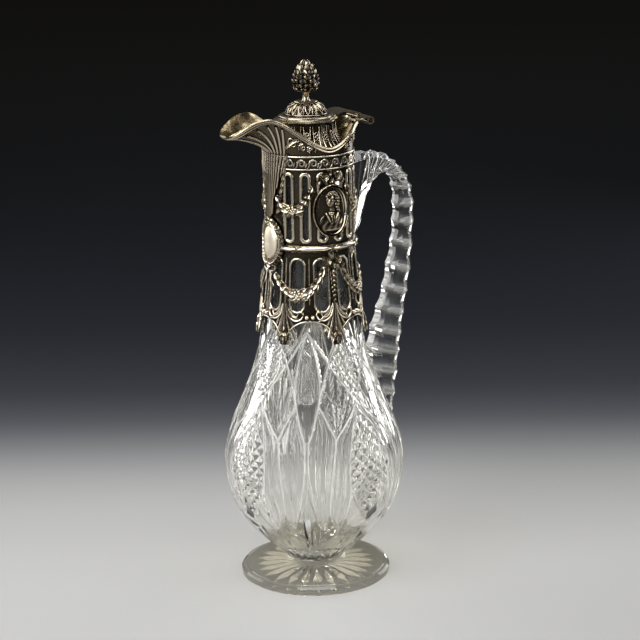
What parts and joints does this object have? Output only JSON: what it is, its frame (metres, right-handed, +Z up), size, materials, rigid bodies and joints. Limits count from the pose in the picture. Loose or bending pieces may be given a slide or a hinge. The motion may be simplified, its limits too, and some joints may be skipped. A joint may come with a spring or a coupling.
{
  "type": "claret jug",
  "caption": "Cut-glass claret jug with a glass handle, a pierced silver neck mount with spout, and a hinged silver lid with a pinecone finial.",
  "frame": {"origin": "centre of the foot's underside", "axes": "+Z up along the jug's axis; the spout points to -X and the handle to +X; the XZ plane is the plane of symmetry"},
  "size_m": [0.1389, 0.12, 0.3495],
  "materials": {
    "cut_glass": "polished cut lead crystal",
    "silver": "chased silver, darkened in the recesses",
    "bright_silver": "plain polished silver",
    "dark_silver": "oxidised silver ground",
    "pin_steel": "worn metal",
    "plaster": "set plaster bed, hidden between glass and silver"
  },
  "bodies": {
    "jug": {"glass_body": "cut_glass", "glass_foot": "cut_glass", "glass_handle": "cut_glass", "bedding_ring": "plaster", "lower_sleeve": "silver", "window_frames": "silver", "leaf_skirt": "silver", "palmettes": "silver", "c_scrolls": "silver", "scroll_balls": "silver", "mid_band": "silver", "band_ties": "silver", "upper_sleeve": "silver", "slot_frames": "silver", "scroll_frieze": "dark_silver", "frieze_scrolls": "silver", "medallion_frame_left": "silver", "medallion_frame_right": "silver", "medallion_plaque_left": "dark_silver", "medallion_plaque_right": "dark_silver", "medallion_bust_left": "silver", "medallion_bust_right": "silver", "upper_bouquets": "silver", "lower_bouquets": "silver", "upper_garlands": "silver", "lower_garlands": "silver", "husk_drops": "silver", "front_cartouche": "bright_silver", "cartouche_wreath": "silver", "wreath_ribbon": "silver", "spout_acanthus": "silver", "spout_collar": "silver", "rim_reeding": "silver", "rim_ties": "silver", "lid_seat": "dark_silver", "rear_scroll": "silver", "rear_bridge": "silver", "collar_knuckles": "silver", "hinge_pin": "pin_steel"},
    "lid": {"hinge_tongue": "silver", "lid_skirt": "silver", "lid_rim": "silver", "lid_dome": "silver", "finial_plate": "silver", "finial_stem": "silver", "finial_nut": "pin_steel", "pinecone_finial": "silver"}
  },
  "joints": [
    {"name": "lid_hinge", "type": "hinge", "parent": "jug", "child": "lid", "pos_m": [0.0345, 0, 0.3098], "axis": [0, 1, 0], "range_deg": [0, 105]}
  ]
}
